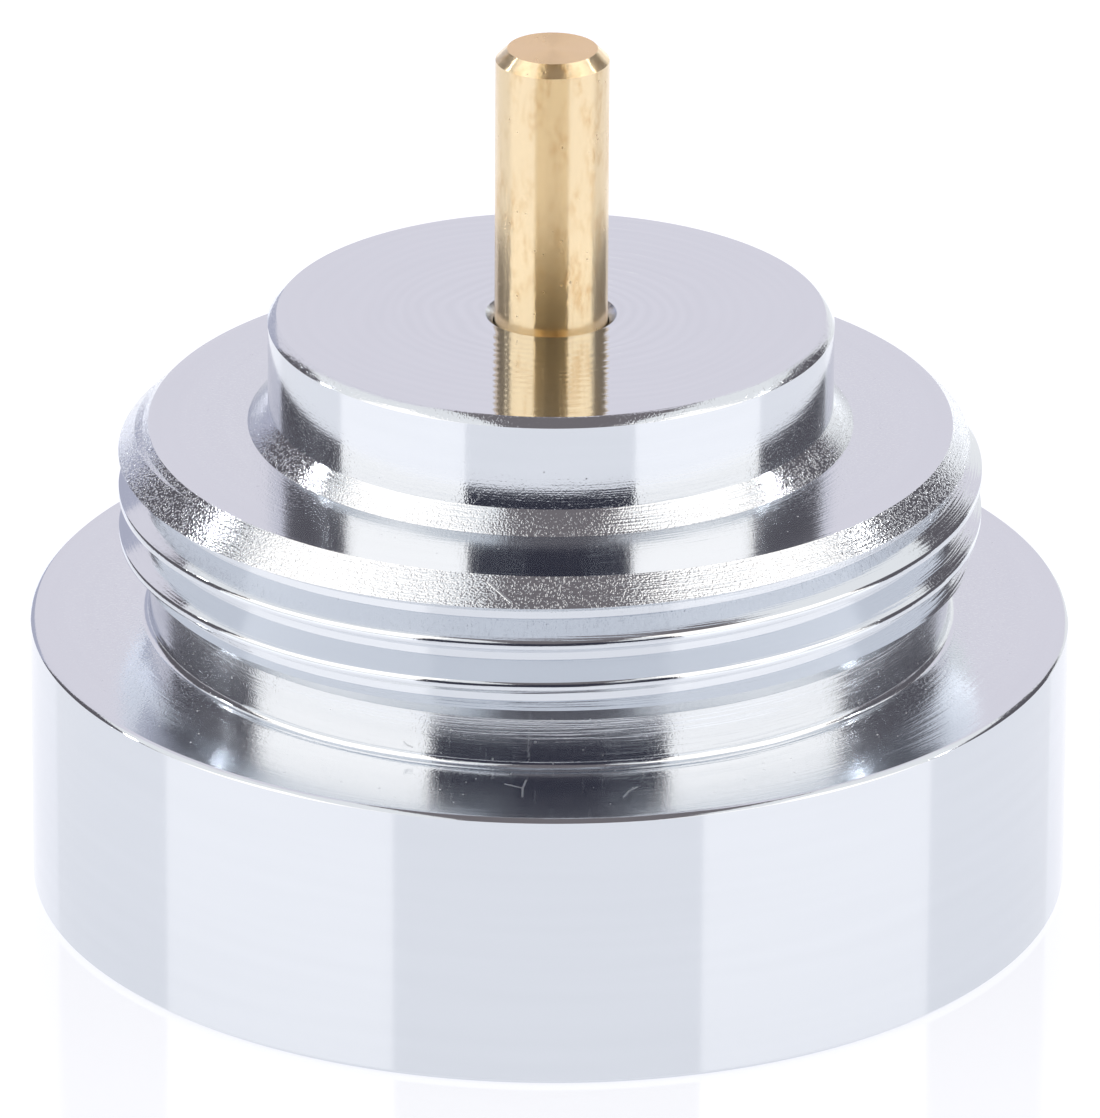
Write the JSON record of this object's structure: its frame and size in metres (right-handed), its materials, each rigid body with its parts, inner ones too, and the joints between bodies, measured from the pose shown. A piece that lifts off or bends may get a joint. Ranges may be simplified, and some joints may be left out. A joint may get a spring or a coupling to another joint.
{
  "type": "radiator valve adapter",
  "caption": "Round plated adapter that screws onto a radiator valve by its skirt, with a male thread, a boss and a sliding brass push pin on top.",
  "frame": {"origin": "centre of the skirt's bottom face, on the axis that the skirt, the threads and the pin share", "axes": "+Z along that axis, from the open socket up to the free end of the pin"},
  "size_m": [0.036, 0.036, 0.0305],
  "materials": {
    "body_plating": "polished",
    "pin_brass": "satin",
    "ring_steel": "satin"
  },
  "bodies": {
    "adapter": {"adapter_body": "body_plating", "retaining_ring": "ring_steel"},
    "pin": {"push_pin": "pin_brass"}
  },
  "joints": [
    {"name": "pin_slide", "type": "slide", "parent": "adapter", "child": "pin", "axis": [0, 0, 1], "range_m": [0, 0.004]}
  ]
}
